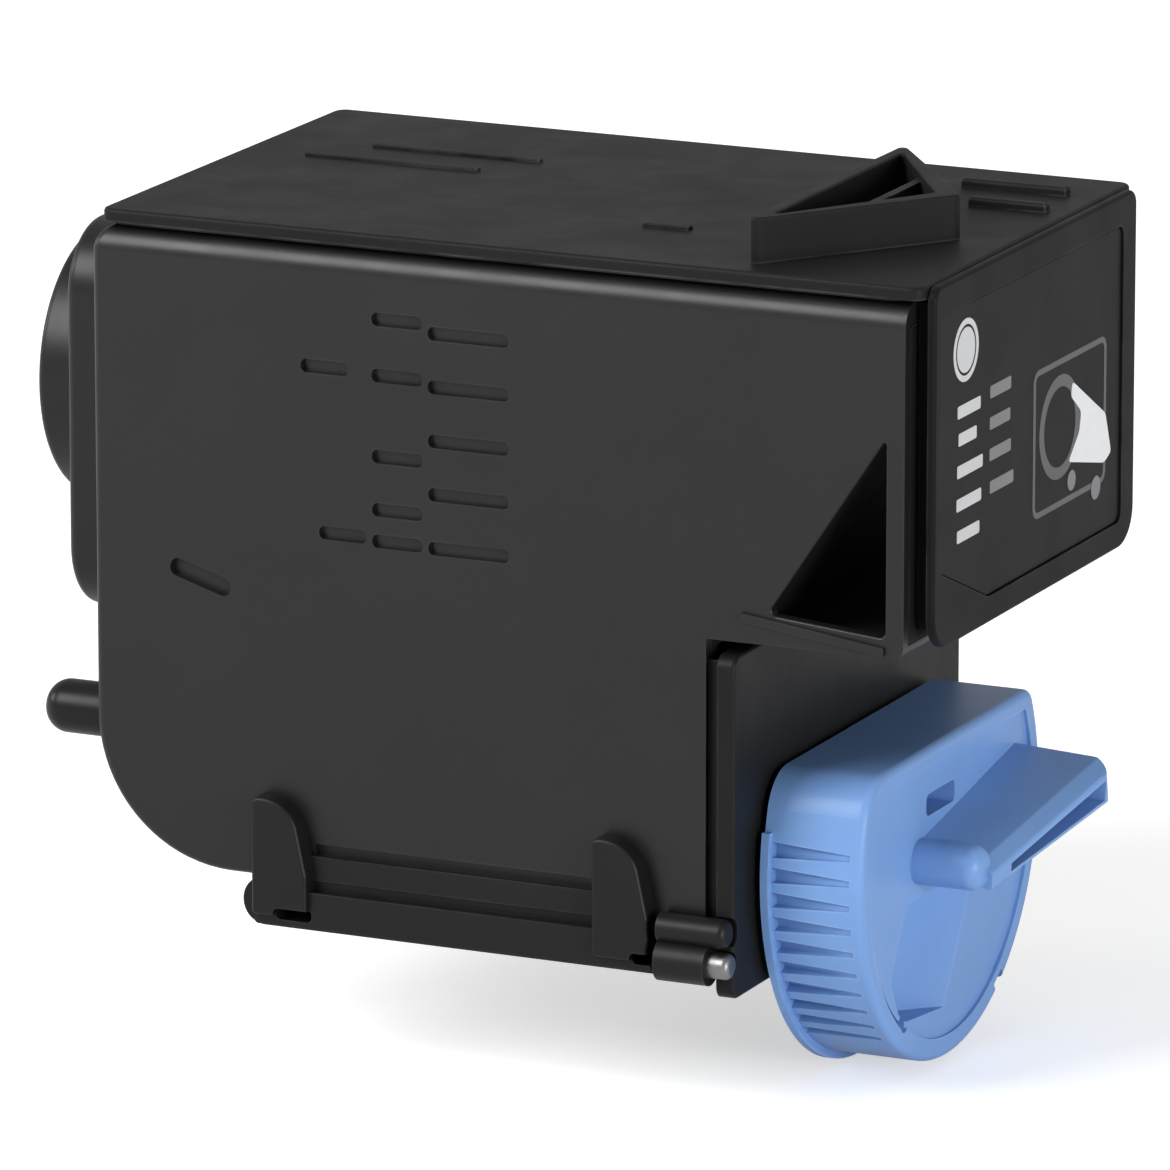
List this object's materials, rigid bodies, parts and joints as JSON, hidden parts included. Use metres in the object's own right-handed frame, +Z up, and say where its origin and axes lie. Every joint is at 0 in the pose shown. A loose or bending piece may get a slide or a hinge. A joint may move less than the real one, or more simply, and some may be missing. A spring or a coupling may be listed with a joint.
{
  "type": "toner cartridge",
  "caption": "Box-shaped printer toner cartridge with an overhanging label head, a rear drive drum, an outlet frame with a sliding shutter and a blue grip knob that opens it.",
  "frame": {"origin": "middle of the outlet frame's underside, the face that rests in the machine", "axes": "+X from the drive end to the knob end, +Y away from the side with the moulded marks, +Z up"},
  "size_m": [0.1915, 0.1115, 0.1637],
  "materials": {
    "body_black": "fine textured moulded black",
    "lid_black": "fine textured moulded black",
    "panel_black": "satin moulded black",
    "label_print": "printed film, white fields on black",
    "knob_blue": "satin moulded blue",
    "gear_white": "natural moulded acetal",
    "bright_steel": "ground",
    "dark_steel": "blackened",
    "frame_black": "satin moulded black",
    "shutter_grey": "smooth moulded dark grey",
    "foam_grey": "fine closed-cell foam",
    "cover_black": "satin moulded black",
    "coupling_grey": "smooth moulded grey",
    "clear_film": "translucent film",
    "felt_grey": "pressed felt",
    "pin_black": "polished moulded black",
    "plug_black": "soft moulded black"
  },
  "bodies": {
    "case": {"hopper_body": "body_black", "top_cover": "lid_black", "front_end_plate": "body_black", "front_panel": "panel_black", "front_label": "label_print", "knob_bush": "gear_white", "end_plate_screws": "dark_steel", "outlet_frame": "frame_black", "guide_stud": "bright_steel", "outlet_seal": "foam_grey", "rear_gear_cover": "cover_black", "cover_screws": "dark_steel", "rear_bush": "gear_white", "front_bush": "gear_white", "shaft_seal": "felt_grey", "locating_pin": "pin_black", "fill_plug": "plug_black"},
    "knob_assembly": {"knob": "knob_blue", "shutter_pinion": "gear_white", "pinion_screw": "bright_steel"},
    "shutter": {"shutter_plate": "shutter_grey"},
    "drive": {"drive_coupling": "coupling_grey", "drive_pinion": "gear_white"},
    "agitator": {"agitator_gear": "gear_white", "agitator_shaft": "bright_steel", "agitator_paddle": "frame_black", "agitator_film": "clear_film"}
  },
  "joints": [
    {"name": "knob_turn", "type": "hinge", "parent": "case", "child": "knob_assembly", "pos_m": [0.05, 0, 0.0175], "axis": [-1, 0, 0], "range_deg": [0, 90]},
    {"name": "shutter_slide", "type": "slide", "parent": "case", "child": "shutter", "axis": [0, -1, 0], "range_m": [0, 0.0189]},
    {"name": "drive_spin", "type": "hinge", "parent": "case", "child": "drive", "pos_m": [-0.08, 0, 0.09], "axis": [1, 0, 0], "continuous": true},
    {"name": "agitator_spin", "type": "hinge", "parent": "case", "child": "agitator", "pos_m": [-0.02, 0, 0.066], "axis": [1, 0, 0], "continuous": true}
  ],
  "couplings": [
    {"joint": "shutter_slide", "follows": "knob_turn", "m_per_rad": 0.012},
    {"joint": "drive_spin", "follows": "agitator_spin", "ratio": -1.4}
  ]
}
